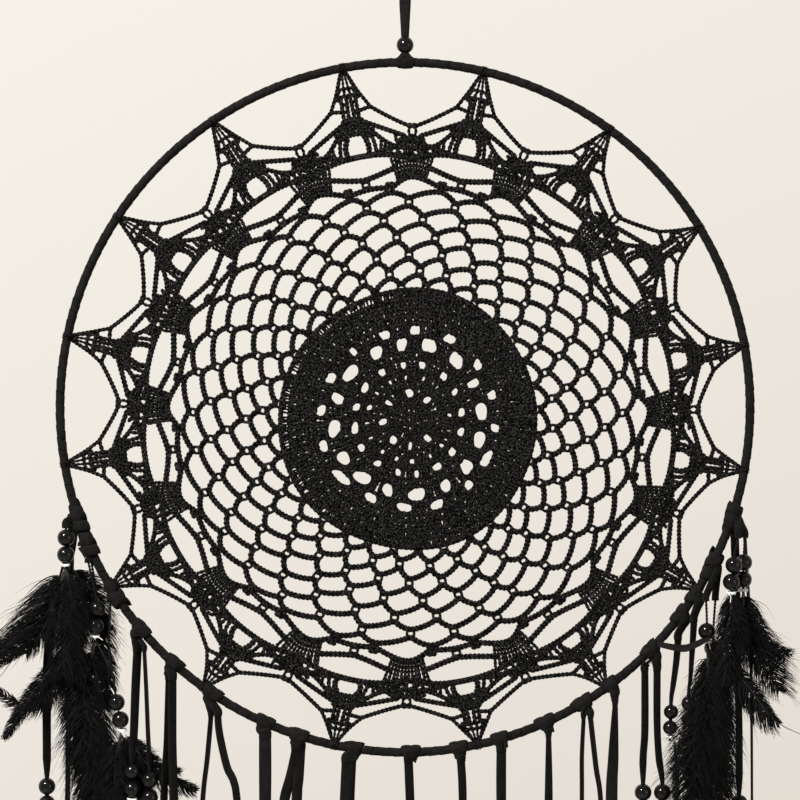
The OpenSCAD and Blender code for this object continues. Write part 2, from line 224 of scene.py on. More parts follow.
class Nodes:
    """The node tree of a material or a world, written from the texture to the shader."""

    def __init__(self, name, kind=bpy.data.materials, shader="Principled BSDF", space="Object"):
        self.owner = kind.new(name)
        self.owner.use_nodes = True
        self.tree = self.owner.node_tree
        self.shader = self.tree.nodes[shader]
        self.coords = self.add("ShaderNodeTexCoord").outputs[space]

    def add(self, kind, **values):
        node = self.tree.nodes.new(kind)
        for key, value in values.items():
            setattr(node, key, value)
        return node

    def link(self, source, target):
        self.tree.links.new(source, target)

    def noise(self, scale, detail=2.0, roughness=0.5, stretch=(1, 1, 1)):
        mapping = self.add("ShaderNodeMapping")
        mapping.inputs["Scale"].default_value = stretch
        self.link(self.coords, mapping.inputs["Vector"])
        noise = self.add("ShaderNodeTexNoise")
        noise.inputs["Scale"].default_value = scale
        noise.inputs["Detail"].default_value = detail
        noise.inputs["Roughness"].default_value = roughness
        self.link(mapping.outputs["Vector"], noise.inputs["Vector"])
        return noise.outputs["Fac"]

    def span(self, source, low, high, from_low=0.3, from_high=0.7, ease="LINEAR"):
        node = self.add("ShaderNodeMapRange", interpolation_type=ease)
        limits = {"From Min": from_low, "From Max": from_high, "To Min": low, "To Max": high}
        for name, value in limits.items():
            node.inputs[name].default_value = value
        self.link(source, node.inputs["Value"])
        return node.outputs["Result"]

    def colour(self, source, low, high, from_low=0.3, from_high=0.7, target="Base Color"):
        ramp = self.add("ShaderNodeValToRGB")
        for stop, position, tint in zip(ramp.color_ramp.elements, (from_low, from_high), (low, high)):
            stop.position = position
            stop.color = (*tint, 1)
        self.link(source, ramp.inputs["Fac"])
        self.link(ramp.outputs["Color"], self.shader.inputs[target])

    def bump(self, source, distance):
        bump = self.add("ShaderNodeBump")
        bump.inputs["Distance"].default_value = distance
        bump.inputs["Strength"].default_value = 1
        self.link(source, bump.inputs["Height"])
        self.link(bump.outputs["Normal"], self.shader.inputs["Normal"])

    def roughness(self, source, low, high):
        self.link(self.span(source, low, high), self.shader.inputs["Roughness"])

    def gloss(self, level):
        self.shader.inputs["Specular IOR Level"].default_value = level

    def sheen(self, weight, roughness, tint):
        self.shader.inputs["Sheen Weight"].default_value = weight
        self.shader.inputs["Sheen Roughness"].default_value = roughness
        self.shader.inputs["Sheen Tint"].default_value = (*tint, 1)


def ribbon_material():
    """Matt black suede ribbon: a short nap, brushed a little lighter in places."""
    n = Nodes("black_suede_ribbon")
    n.colour(n.noise(260, 4, 0.6), (0.003, 0.003, 0.0031), (0.0075, 0.0073, 0.0071))
    n.roughness(n.noise(700, 3), 0.7, 0.9)
    n.bump(n.noise(4200, 3, 0.7), 0.00012)
    n.sheen(0.015, 0.5, (0.9, 0.88, 0.85))
    n.gloss(0.06)
    return n.owner


def cotton_material():
    """Black mercerised crochet cotton, twisted in fine plies; its speckle is partly real tone, partly painted
    shade and glints.
    """
    n = Nodes("black_crochet_cotton")
    # A sharp random speckle from near black to dark grey: partly the cotton's uneven tone, partly painted shade
    # and painted glints over the stitches.
    n.colour(n.noise(1000, 2, 0.5), (0.0001, 0.0001, 0.0001), (0.027, 0.0266, 0.0257), 0.45, 0.7)
    n.roughness(n.noise(900, 2), 0.24, 0.36)
    n.bump(n.noise(5200, 2, 0.6, (1, 0.5, 1)), 0.00016)
    n.gloss(0.025)
    return n.owner


def bead_material():
    """Polished black beads with a faint moulding ripple."""
    n = Nodes("black_gloss_bead")
    n.colour(n.noise(90, 2), (0.0018, 0.0018, 0.002), (0.0035, 0.0034, 0.0036))
    n.roughness(n.noise(160, 2), 0.1, 0.2)
    n.bump(n.noise(220, 2), 0.00002)
    n.gloss(0.22)
    return n.owner


def thread_material():
    """Off-white binding thread."""
    n = Nodes("off_white_thread")
    n.colour(n.noise(900, 3), (0.56, 0.55, 0.52), (0.82, 0.81, 0.78))
    n.roughness(n.noise(1200, 2), 0.6, 0.8)
    n.bump(n.noise(6000, 2), 0.00006)
    n.sheen(0.2, 0.5, (1, 1, 1))
    return n.owner


def feather_material():
    """Dyed black feather: soft, with a cool sheen along the barbs."""
    n = Nodes("black_feather")
    n.colour(n.noise(170, 4, 0.6), (0.0018, 0.0018, 0.002), (0.007, 0.0069, 0.0073))
    n.roughness(n.noise(900, 3), 0.35, 0.6)
    n.bump(n.noise(3800, 2, 0.6, (1, 1, 0.3)), 0.00008)
    n.gloss(0.08)
    return n.owner


def quill_material():
    """Dark horn of the quills, a little glossier than the barbs."""
    n = Nodes("dark_quill")
    n.colour(n.noise(300, 3, 0.5, (1, 1, 0.2)), (0.003, 0.0028, 0.0026), (0.009, 0.008, 0.0075))
    n.roughness(n.noise(600, 2), 0.3, 0.5)
    return n.owner


def steel_material():
    """Plain drawn steel wire of the ring inside the winding."""
    n = Nodes("ring_steel")
    n.shader.inputs["Metallic"].default_value = 1.0
    n.colour(n.noise(400, 3, 0.5), (0.38, 0.38, 0.39), (0.5, 0.5, 0.51))
    n.roughness(n.noise(1500, 2), 0.3, 0.45)
    return n.owner


# The finishes, as a material and a slot name.
RIBBON = ribbon_material(), "ribbon"
COTTON = cotton_material(), "crochet_cotton"
GLOSS = bead_material(), "bead"
THREAD = thread_material(), "binding_thread"
BARB = feather_material(), "feather"
QUILL = quill_material(), "feather"


# ---- hoop


def ring_point(angle, off, turn):
    """A point beside the hoop's centreline: angle from the bottom, then a distance off it, at a turn in
    radians round its section, where 0 is outwards and a quarter turn is to the front."""
    a = np.radians(angle)
    r = HOOP_R + off * np.cos(turn)
    return np.stack([r * np.sin(a), -off * np.sin(turn) + 0 * a, HOOP_Z - r * np.cos(a)], -1)


def hoop_winding():
    """One ribbon wound round the steel ring, each turn lapped over the last."""
    turns, across = 186, 6
    where = np.array([0.0, 0.02, 0.1, 0.4, 0.75, 0.98])
    height = np.array([0.02, 0.24, 0.27, 0.18, 0.08, 0.02]) * MM
    around = 16
    column = np.arange(turns * across)
    turn = 2 * np.pi * np.arange(around) / around
    wound = column[:, None] // across + turn[None] / (2 * np.pi)
    wobble = 0.05 * np.sin(1.7 * wound) + 0.04 * np.sin(0.61 * wound + 1)
    angle = (wound + where[column % across][:, None] + wobble) * 360 / turns
    swell = 1 + 0.25 * np.sin(0.9 * wound) * np.sin(0.23 * wound)
    off = HOOP_T / 2 - 0.06 * MM + height[column % across][:, None] * swell
    rings = ring_point(angle, off, turn[None])
    solid = Solid()
    solid.points.append(rings.reshape(-1, 3))
    c, v = column[:, None], np.arange(around)[None]
    wrapped = (v + 1) // around
    total, n = turns * across, (v + 1) % around
    here, there = (c + wrapped * across) % total, (c + 1 + wrapped * across) % total
    quads = [c * around + v, here * around + n, there * around + n, (c + 1) % total * around + v]
    solid.quads.append(np.stack(np.broadcast_arrays(*quads), -1).reshape(-1, 4))
    solid.count = rings.size // 3
    place(solid, "hoop_winding_ribbon", RIBBON, "hoop", "hoop_winding")


def hoop_core():
    """The steel ring keeps its CAD shape and gets a steel finish."""
    core = frame["nodes"]["hoop_core"]
    core.data.materials.clear()
    core.data.materials.append(steel_material())


hoop_winding()
hoop_core()


# ---- crochet

# Sizes of the crochet, and what its functions take, are in millimetres. Their paths are in metres.
CHAIN_W = 3.9
STRAND_R = 1.0
STITCH = 2.4
WEB_R = 0.165  # metres, where the hand-made unevenness ends


def sway(r, angle):
    """The hand-made unevenness of the web: it is drawn out towards the hoop and slack to one side."""
    slack = np.exp(-(((angle % 360) - 100) / 38) ** 2)
    edge = np.clip(1 - r / WEB_R, 0, 1)
    wave = 0.7 * np.sin(np.radians(3 * angle + 40)) + 0.5 * np.sin(np.radians(5 * angle - 60 + 900 * r))
    return r * (1 - 0.05 * slack * edge) + wave * MM * np.sin(np.clip(r / WEB_R, 0, 1) * np.pi)


def reach(angle):
    """The distance from the web's centre to the inside of the hoop."""
    a = np.radians(angle)
    along = WEB_X * np.sin(a) + (WEB_Z - HOOP_Z) * np.cos(a)
    limit = HOOP_R - HOOP_T / 2
    return -along + np.sqrt(along**2 - WEB_X**2 - (WEB_Z - HOOP_Z) ** 2 + limit**2)


FAN_TOP = 153
TIP = 197.5


def drawn(r, angle):
    """The degrees by which the border is drawn round: its points are tied closer together at the bottom."""
    a = np.radians(angle)
    grip = np.clip((r - 0.075) / 0.075, 0, 1)
    return grip * grip * (3 - 2 * grip) * (0.6 - 2.6 * np.sin(a) + 1.9 * np.sin(2 * a))


def web_point(r, angle):
    """A point of the web. Past the fans it stretches so that the tips meet the hoop."""
    r, angle = np.asarray(r, float) * MM, np.asarray(angle, float)
    angle = angle + drawn(r, angle)
    top, tip = FAN_TOP * MM, TIP * MM
    r = np.where(r > top, top + (r - top) * (reach(angle) - top) / (tip - top), sway(r, angle))
    a = np.radians(angle)
    y = 0.5 * MM * np.sin(3 * a) * np.sin(r / 0.2 * np.pi)
    return np.stack([WEB_X + r * np.sin(a), y + 0 * r, WEB_Z + r * np.cos(a)], -1)


def between(start, end, bulge=0.0, count=14):
    """A line on the web from one (radius, angle) to another, bulging outwards in the middle."""
    t = np.linspace(0, 1, count)
    r = start[0] + (end[0] - start[0]) * t + bulge * 4 * t * (1 - t)
    return web_point(r, start[1] + (end[1] - start[1]) * t)


def curve(points, steps=6):
    """A smoothed line on the web through points given as (radius, angle)."""
    return web_point(*smooth(points, steps).T)


def chain(solid, path, width=CHAIN_W, strand=STRAND_R, stitch=STITCH):
    """Chain stitches: two strands that part and close again, and pass in front and behind."""
    stitches = max(1, round(run_of(path)[-1] / (stitch * MM)))
    line = resample(path, stitches * 6 + 1)
    f = np.linspace(0, stitches, len(line))[:, None]
    side = unit(np.cross(tangents(line), Y_AXIS))
    part = 0.04 + 0.96 * np.abs(np.sin(np.pi * f + 0.5 * np.sin(np.pi * f) ** 2)) ** 0.8
    for s in (-1, 1):
        off = s * (width / 2 - strand) * part * side - 0.45 * np.cos(2 * np.pi * f + s * 0.6) * Y_AXIS
        solid.tube(line + off * MM, strand * MM, 5)


def post(solid, path, width=2.9, strand=0.88, pitch=5):
    """A tall stitch: two strands twisted round each other."""
    length = run_of(path)[-1]
    turns = max(0.5, length / (pitch * MM))
    line = resample(path, max(4, round(turns * 7) + 1))
    side = unit(np.cross(tangents(line), Y_AXIS))
    f = np.linspace(0, turns * 2 * np.pi, len(line))[:, None]
    for s in (0, np.pi):
        off = np.sin(f + s) * side + 0.8 * np.cos(f + s) * Y_AXIS
        solid.tube(line + (width / 2 - strand) * MM * off, strand * MM, 5)


# Each round of the medallion: inner and outer radius, the groups that its tall stitches stand in, the share
# of the round that they fill, and the angle of the first group.
ROUNDS = [
    (0.8, 6.4, 1, 1, 0),
    (6.4, 11.8, 1, 1, 0),
    (11.8, 18.2, 8, 0.6, 20),
    (18.2, 21.8, 1, 1, 0),
    (21.8, 26.2, 16, 0.62, 6),
    (26.2, 28.4, 1, 1, 0),
    (28.4, 34.2, 16, 0.54, 3),
    (34.2, 38.6, 1, 1, 0),
    (38.6, 47.4, 16, 0.42, 5),
    (47.4, 54.4, 16, 0.56, 16),
    (54.4, 58.6, 1, 1, 0),
    (58.6, 63.6, 1, 1, 0),
    (63.6, 68.6, 1, 1, 0),
    (68.6, 73.8, 1, 1, 0),
]


def opening(solid, low, high, start, end, rng):
    """The rounded edge of an opening between two groups of stitches."""
    turn = np.linspace(0, 2 * np.pi, 19)
    first, second = rng.uniform(0, 6), rng.uniform(0, 6)
    uneven = 1 + 0.12 * np.sin(2 * turn + first) + 0.06 * np.sin(3 * turn + second)
    for scale in (1.02, 1.24):
        r = (low + high) / 2 + scale * (high - low) / 2 * np.cos(turn) * uneven
        angle = (start + end) / 2 + scale * (end - start) / 2 * np.sin(turn) * uneven
        solid.tube(web_point(np.clip(r, low - 0.8, high + 0.8), angle), 0.9 * MM, 5)


def medallion():
    """The close-worked centre, round by round."""
    rng = random.Random(11)
    inner, outer = Solid(), Solid()
    for low, high, groups, fill, turned in ROUNDS:
        solid = outer if low > 50 else inner
        sector = 360 / groups
        spacing = 2.1 / (0.6 * high + 0.4 * low) * 180 / math.pi
        worked = []
        for group in range(groups):
            share = fill if groups == 1 else min(0.94, fill * rng.uniform(0.8, 1.3))
            middle = turned + (group + rng.uniform(-0.09, 0.09) * (groups > 1)) * sector
            worked.append((middle - sector * share / 2, middle + sector * share / 2))
            count = max(2, round(sector * share / spacing))
            for k in range(count):
                at = middle + ((k + 0.5) / count - 0.5) * sector * share
                slit = high > 70 and (at % 360) > 205 and rng.random() < 0.5
                lean = rng.uniform(-0.4, 0.4) * sector * share / count
                line = between((low - 0.3, at), (high + 0.3, at + lean), count=5)
                post(solid, line, *((1.6, 0.52) if slit else (3.0, 1.0)))
        for (_, start), (end, _) in zip(worked, worked[1:] + worked[:1]):
            if groups > 1:
                opening(solid, low, high, start, end if end > start else end + 360, rng)
        width, strand = (3.4, 1.05) if high > 50 else (2.5, 0.8)
        chain(solid, between((high, 0), (high, 359.9), count=180), width, strand, 3)
    place(inner, "crochet_medallion_centre", COTTON, "hoop", "crochet_medallion")
    place(outer, "crochet_medallion_rim", COTTON, "hoop", "crochet_medallion")


# The radii of the net's rows of knots. Each row stands a little further back round than the one inside it.
NET_ROWS = [74.5, 84, 94, 104, 114, 123.5, 132.5]
NET_TURN = -3.72
NET_START = 7.2


def net_knot(row, k):
    """Where a knot of the net lies, as (radius, angle)."""
    angle = NET_START + NET_TURN * row + k * STEP / 2
    if row == len(NET_ROWS) - 1:
        angle += 0.75 * (-1) ** k - 0.6
    wander = 0.35 * math.sin(2.3 * k + 1.9 * row) + 0.25 * math.sin(5.1 * k + row)
    return NET_ROWS[row] + 0.5 * math.sin(3.7 * k + 2.1 * row), angle + wander


def double_knot(solid, at, height=4.8):
    """Two short strands side by side, where one chain loop is caught on another."""
    r, angle = at
    gap = math.degrees(1.9 / r)
    for s in (-1, 1):
        part = np.array([0.3, 0.8, 1, 1, 1, 0.8, 0.3])
        path = web_point(r + height * np.linspace(-0.5, 0.5, 7), angle + s * gap * part)
        solid.tube(path, 0.9 * MM, 5)
    for edge in (r - height / 2, r + height / 2):
        chain(solid, between((edge, angle - 1.1 * gap), (edge, angle + 1.1 * gap), count=4))


def net():
    """Loops of chain, each caught on the loops of the row inside it."""
    inner, outer = Solid(), Solid()
    lift = 2.1
    for row in range(len(NET_ROWS)):
        solid = inner if row < 3 else outer
        for k in range(2 * POINTS):
            r, angle = net_knot(row, k)
            double_knot(solid, (r, angle))
            if row + 1 < len(NET_ROWS):
                for other in (net_knot(row + 1, k), net_knot(row + 1, k + 1)):
                    chain(solid, between((r + lift, angle), (other[0] - lift, other[1]), 0.7))
    place(inner, "crochet_net_inner", COTTON, "hoop", "crochet_net")
    place(outer, "crochet_net_outer", COTTON, "hoop", "crochet_net")


def band(angle, lift=0.0):
    """The radius of the thick round over the fans, which rises between them. lift is that of its upper edge,
    which stands off only beside a fan."""
    u = np.abs((np.asarray(angle, float) / STEP) % 1 - 0.5) * 2
    return 149.2 + 3.6 * (1 - u**2.4) + lift * np.clip((u - 0.25) / 0.5, 0, 1)


def fans():
    """Sixteen fans of tall stitches on the net, with almond-shaped gaps between them."""
    solid = Solid()
    rng = random.Random(19)
    last = len(NET_ROWS) - 1
    for k in range(POINTS):
        middle = k * STEP
        low = [net_knot(last, 2 * k + i) for i in (1, 2, 3)]
        chain(solid, curve([low[0], (138.6, middle), low[1]], 7))
        for s in np.linspace(-1, 1, 12):
            base = (138.8 - 2.0 * s * s, middle + 3.2 * s)
            crown = (151.0 - 1.0 * s * s, middle + (4.5 + rng.uniform(-0.2, 0.2)) * s)
            post(solid, between(base, crown, count=6), 2.3, 0.74)
        for s in (-1, 1):
            rise = [(144.4, middle + s * 3.4), (140.6, middle + s * 8), (139, middle + s * STEP / 2)]
            chain(solid, curve(rise))
        chain(solid, between(low[1], low[2], 1.0))
        (r, at), (next_r, next_at) = low[1:]
        hung = (r + next_r) / 2 + 1.2, (at + next_at) / 2
        double_knot(solid, ((hung[0] + 139) / 2, (hung[1] + middle + STEP / 2) / 2), 4.4)
    place(solid, "crochet_fans", COTTON, "hoop", "crochet_border")


def border_band():
    """The thick round over the fans, and the close knots where it meets each fan."""
    solid = Solid()
    rng = random.Random(13)
    angle = np.linspace(0, 359.9, 420)
    for lift in (0, 5.6):
        chain(solid, web_point(band(angle, lift), angle))
    for k in range(240):
        at = k * 360 / 240
        low, high = band(at), band(at, 5.6)
        if high - low > 1:
            post(solid, between((low, at), (high, at + rng.uniform(-0.4, 0.4)), count=4))
    for k in range(POINTS):
        for _ in range(22):
            r, at = rng.uniform(148.5, 161), k * STEP + rng.uniform(-1, 1) * 3.6
            turn, long = rng.uniform(0, math.pi), rng.uniform(1.6, 3.0)
            dr, da = long * math.sin(turn), math.degrees(long * math.cos(turn) / r)
            line = between((r - dr, at - da), (r + dr, at + da), 0.6, 7)
            chain(solid, line + rng.uniform(-0.9, 0.5) * MM * Y_AXIS, 2.5, 0.78)
    place(solid, "crochet_band", COTTON, "hoop", "crochet_border")


def worked_point(solid, tip, rng):
    """One point: a lacy wedge at the tip, a column, a shell round an eye, and open arms of chain."""

    def at(r, off):
        return r + rng.uniform(-0.5, 0.5), tip + off + rng.uniform(-0.12, 0.12)

    for s in (-1, 1):
        corner, eye = at(178.5, 3.5 * s), at(163.4, 1.7 * s)
        chain(solid, curve([(197, tip + 0.45 * s), at(187, 1.9 * s), corner]), 2.6, 0.76)
        chain(solid, between(corner, (166.5, tip + s * 10.9), -1.1, 20), 2.9, 0.82)
        chain(solid, between(corner, at(176.6, 0.7 * s)), 2.8, 0.85)
        post(solid, between(at(184.5, 2.1 * s), at(180.5, 0.6 * s)), 2.2, 0.7)
        for off in (0.4, 1.2):
            post(solid, between(at(185, off * s), at(169.5, (off + 0.2) * s), count=8))
        chain(solid, between(at(171.2, 1.4 * s), (161.6, tip + s * 9.8), -0.6, 20), 3.4, 0.95)
        chain(solid, between(at(168.2, 1.8 * s), at(165.8, 4.0 * s), -0.3, 6), 3.0, 0.9)
        chain(solid, curve([eye, at(158, 2.4 * s), at(152.6, 2.2 * s)]))
        post(solid, curve([at(163, 3.1 * s), at(158, 3.6 * s), at(153, 3.8 * s)]))
        rise = [at(165.6, 3.1 * s), at(158.8, 5.8 * s), at(155.2, 8.8 * s)]
        chain(solid, curve(rise), 3.2, 0.95)
        for off in (4.8, 5.7, 6.8):
            post(solid, between(at(153.5, off * s), at(159.6 - 1.4 * (off - 5), (off + 0.2) * s)), 2.6, 0.8)
    for s in np.linspace(-1, 1, 9):
        post(solid, between(at(173, 1.2 * s), at(164.6 - 1.8 * s * s, 3.6 * s), count=6))
    chain(solid, between(at(162.4, -3.4), at(162.4, 3.4), 2.4, 10))
    chain(solid, between(at(171.4, -1.9), at(171.4, 1.9), 1.2, 8))
    for r, off in ((188.4, 1.5), (184.6, 2.2)):
        chain(solid, between(at(r, -off), at(r, off), 0.5, 10), 2.6, 0.8)
    for s in np.linspace(-1, 1, 4):
        post(solid, between((188.4, tip + 1.3 * s), (TIP, tip + 0.4 * s), count=6), 1.8, 0.56)
        post(solid, between(at(184.6, 1.8 * s), at(188.4, 1.2 * s), count=4), 2.2, 0.7)


def valley(solid, middle):
    """The cluster on top of a fan, and the loop that holds the arms of two points together."""
    for s in np.linspace(-1, 1, 7):
        post(solid, between((154.5, middle + 3.0 * s), (161.8, middle + 1.9 * s), count=4))
    for s in (-1, 1):
        loop = [(161, middle + s * 0.4), (164, middle + s * 0.7), (167.2, middle + s * 0.4)]
        chain(solid, curve(loop, 4), 2.1, 0.66)
    chain(solid, between((166.8, middle - 0.9), (166.8, middle + 0.9), 0, 4))


def points_of_the_web():
    """The sixteen points, which stand between the fans, and what joins them over the fans."""
    solid = Solid()
    rng = random.Random(17)
    for k in range(POINTS):
        worked_point(solid, (k + 0.5) * STEP, rng)
        valley(solid, k * STEP)
    place(solid, "crochet_points", COTTON, "hoop", "crochet_border")


def web_ties():
    """Each tip is bound to the hoop with three turns of its own cotton."""
    solid = Solid()
    for k in range(POINTS):
        tip = web_point(TIP, (k + 0.5) * STEP)
        angle = math.degrees(math.atan2(tip[0], HOOP_Z - tip[2]))
        turn = np.linspace(0, 6 * np.pi, 55)
        spread = np.linspace(-0.45, 0.45, 55) + 0.05 * np.sin(3 * turn)
        solid.tube(ring_point(angle + spread, HOOP_T / 2 + 0.3 * MM, turn + np.pi), 0.36 * MM, 5, X_AXIS)
    place(solid, "web_tie_turns", COTTON, "hoop", "web_ties")


medallion()
net()
fans()
border_band()
points_of_the_web()
web_ties()

# ---- ribbons

# Each ribbon: its knot's angle from the bottom of the hoop, the height of its hinge, and its tails. A tail is
# its depth, the angles by which it turns from flat, from top to bottom, and its route.
RIBBONS = [
    (-50, -139, [
        (-3, (50, 50, 58), [(-153, -140), (-154, -160), (-155, -186), (-156, -202)]),
        (-3, (80, 76, 70), [(-149, -140), (-148, -160), (-147, -185), (-146, -207)]),
    ]),
    (-42, -155, [
        (-2, (60, 52, 58, 20), [
            (-135, -156), (-136, -190), (-138, -230), (-137, -330), (-138, -450), (-137, -600),
        ]),
        (-4, (50, 44, 50, 70), [
            (-133, -156), (-133, -190), (-132, -230), (-131, -330), (-133, -450), (-132, -585),
        ]),
    ]),
    (-34, -176, [
        (-3, (72, 68, 60, 30), [
            (-111, -177), (-113, -200), (-116, -230), (-118, -300), (-117, -450), (-118, -640),
        ]),
        (-3, (60, 48, 70, 40, 60), [
            (-107, -177), (-106, -187), (-102, -205), (-96, -225), (-95, -300), (-96, -440), (-95, -610),
        ]),
    ]),
    (-24, -188, [
        (-3, (8, 4, 12, 15, 40), [(-80, -189), (-80, -230), (-81, -330), (-80, -470), (-81, -665)]),
    ]),
    (-18, -195, [
        (-4, (34, 30, 50, 35), [
            (-62, -196), (-65, -210), (-69, -225), (-71, -250), (-72, -320), (-71, -480), (-72, -690),
        ]),
        (-2, (34, 28, 20, 60), [
            (-60, -196), (-61, -212), (-62, -230), (-62, -320), (-61, -480), (-62, -650),
        ]),
    ]),
    (-8.5, -202, [
        (-4, (22, 12, 25, 8), [(-33, -203), (-34, -225), (-36, -260), (-37, -350), (-36, -500), (-37, -700)]),
        (-2, (30, 35, 20, 45), [
            (-31, -203), (-32, -228), (-31, -262), (-30, -350), (-31, -500), (-30, -715),
        ]),
    ]),
    (1, -202, [(-3, (44, 50, 35, 55), [(2, -203), (3, -228), (4, -260), (3, -400), (4, -560), (3, -720)])]),
    (9, -202, [(-3, (48, 53, 40, 20), [(32, -203), (33, -230), (33, -330), (32, -500), (33, -700)])]),
    (16, -196, [(-3, (36, 30, 10, 30), [(55, -197), (55, -230), (56, -330), (55, -500), (56, -690)])]),
    (24, -188, [
        (-3, (66, 12, 25, 40, 50, 50), [(82, -189), (82, -230), (81, -330), (82, -500), (81, -670)]),
    ]),
    (31, -177, [
        (-3, (70, 62, 40, 60), [
            (102, -178), (101, -200), (101, -230), (100, -330), (101, -480), (100, -650),
        ]),
        (-3, (64, 66, 72, 84), [
            (106, -178), (109, -205), (112, -230), (112, -300), (111, -450), (112, -615),
        ]),
    ]),
    (36.5, -170, [
        (-3, (66, 0, 5, 8, 12, 20, 25, 30, 30), [
            (120, -171), (119, -200), (118, -230), (119, -330), (118, -460), (119, -610),
        ]),
    ]),
    (45.4, -150, [
        (-3, (52, 48, 50), [(137, -151), (137, -185), (136, -200), (136, -214)]),
        (-3, (50, 52, 48), [(144, -151), (144, -180), (145, -200), (147, -214)]),
    ]),
    (53, -132, [(-3, (50, 60, 70), [(156, -133), (155, -145), (153, -160), (152, -168)])]),
    (57, -122, [(-3, (50, 66, 78), [(165, -123), (164, -140), (163, -155), (162, -164)])]),
]
# The beads that ribbon tails run through, as tail: (diameter, upper centre, lower centre).
RIBBON_BEADS = {
    (1, 0): (BEAD_D, (-156, -208), (-156, -218)),
    (1, 1): (BEAD_D, (-146, -213), (-146, -223)),
    (13, 0): (BEAD_D, (136, -220), (136, -230)),
    (13, 1): (BEAD_D, (147, -220), (147, -230)),
    (14, 0): (SMALL_BEAD_D, (152, -174), (151.5, -183)),
    (15, 0): (SMALL_BEAD_D, (162, -169), (162, -178)),
}
# The beaded feather drops: the strap's angle, the height of the hinge, and strings as depth, route and beads.
DROPS = {
    "left_outer": (-71.5, -68, [
        (-6, [(-193.5, -68.6), (-193.5, -76), (-194, -93)], [(-193.5, -74.4), (-193.7, -84)]),
        (1.5, [(-192, -68.6), (-191, -100), (-192, -136.6)], [(-191, -118), (-191.7, -127.7)]),
    ]),
    "left_inner": (-67, -88, [
        (-3, [(-181, -88.6), (-178, -102), (-176, -115), (-177, -125), (-177.4, -134)],
         [(-176, -115), (-177, -125)]),
        (4, [(-180, -88.6), (-177, -110), (-176, -150), (-176.5, -177)], [(-176.3, -168.6)]),
    ]),
    "left_lower": (-57, -110, [
        (-3, [(-168.5, -110.6), (-169, -140), (-166, -160), (-165, -168.6), (-162.7, -178.5), (-162, -187.6)],
         [(-165, -168.6), (-162.7, -178.5)]),
    ]),
    "right_inner": (63, -110, [
        (-3, [(172, -110.6), (172.4, -120), (172.6, -137)], [(172.4, -128)]),
        (4, [(178, -110.6), (177, -125), (176.4, -147)], [(176.4, -138)]),
    ]),
    "right_outer": (71.5, -74, [
        (-5, [(190, -74.6), (188, -84), (187.7, -90), (186.2, -99.7), (186, -109)],
         [(187.7, -90), (186.2, -99.7)]),
        (5, [(195, -74.6), (194.5, -84), (194.3, -89), (194, -108)], [(194.4, -89), (194.2, -98.8)]),
    ]),
}
# The long ribbons that hang behind the outer drops: depth, turns, route, and beads where it has them.
SIDE_RIBBONS = {
    "left_outer": ("left_long_ribbons", [
        (9, (40, 48, 55), [
            (-191, -69), (-192.5, -82), (-198, -104), (-204, -130), (-206, -160), (-206, -211),
        ], [(-206, -218), (-206, -228)]),
        (12, (70, 75, 50, 70), [
            (-192, -69), (-193, -120), (-194, -180), (-195, -300), (-194, -400), (-195, -520),
        ], []),
    ]),
    "right_outer": ("right_long_ribbons", [
        (12, (40, 50, 45), [(190, -75), (191, -110), (192, -160), (192.5, -190), (192.5, -221)],
         [(192.5, -228), (192.5, -238)]),
        (14, (70, 76, 55, 70), [
            (196, -75), (199, -130), (200, -200), (200, -320), (199, -430), (200, -530),
        ], []),
    ]),
}


def ribbon_frame(path, turns):
    """The direction of a hanging ribbon's width along it, as it turns from flat by the given angles."""
    share = run_of(path) / run_of(path)[-1]
    angle = np.radians(np.interp(share, np.linspace(0, 1, len(turns)), turns))[:, None]
    flat = unit(np.cross(tangents(path), Y_AXIS))
    return np.cos(angle) * flat + np.sin(angle) * Y_AXIS


def ribbon_path(depth, route, hinge, end=None):
    """A tail's route, from just inside the knot above its hinge. end carries it on to a lower point."""
    route = [(route[0][0], hinge + 2.4)] + route + ([end] if end else [])
    return smooth(in_space(route, depth), 5)


def ribbon_tail(name, depth, turns, route, hinge, body, node, beads=(), bead_d=BEAD_D):
    """One flat ribbon tail. Where it has beads it gathers to pass through them, and ends in the binding."""
    end = (beads[-1][0], beads[-1][1] - 7.6) if beads else None
    path = ribbon_path(depth, route, hinge, end)
    fine = resample(path, max(24, int(run_of(path)[-1] / (2.5 * MM))))
    down = fine[:, 2] - HOOP_Z
    width = RIBBON_W * (1 + 0.03 * np.sin(run_of(fine) * 90))
    thick = np.full(len(fine), RIBBON_T)
    if beads:
        over = (down - (beads[0][1] * MM + bead_d / 2)) / GATHER
        spread = np.clip(over, 0, 1) ** 0.8
        width = GATHERED_W + (width - GATHERED_W) * spread
        thick = GATHERED_T + (RIBBON_T - GATHERED_T) * spread
    solid = Solid()
    solid.strip(fine, ribbon_frame(fine, turns), width, thick, 0.06)
    piece = place(solid, name, RIBBON, body, node)


def beads_piece(name, centres, depth, d, body, *nodes):
    """Beads with their holes along the ribbon."""
    solid = Solid()
    for centre in in_space(centres, depth):
        solid.bead(centre, d, BORE_R)
    return place(solid, name, GLOSS, body, *nodes)


def binding_turns(solid, top, rng):
    """Thread wound round a string and a quill, with two frayed ends."""
    height, r = 1.5 * MM, 2.3 * MM
    turn = np.linspace(0, 5 * np.pi, 60)
    fall = np.linspace(0, 1, 60)[:, None] * height
    wave = r * (1 + 0.12 * np.sin(2.3 * turn))
    path = top - fall * [0, 0, 1] + np.stack([wave * np.cos(turn), wave * np.sin(turn), 0 * turn], 1)
    solid.tube(path, 0.42 * MM, 6, X_AXIS * 0.3 + [0, 0, 1.0])
    for _ in range(2):
        start = top + np.array([r * rng.uniform(-1, 1), -r, -rng.uniform(0.3, 0.8) * height])
        away = np.array([rng.uniform(-4, 4), -1.5, -rng.uniform(1, 5)]) * MM
        bend = start + away * 0.5 + np.array([rng.uniform(-1.5, 1.5), -0.5, 0.8]) * MM
        solid.tube(smooth([start, bend, start + away], 5), 0.22 * MM, 5)


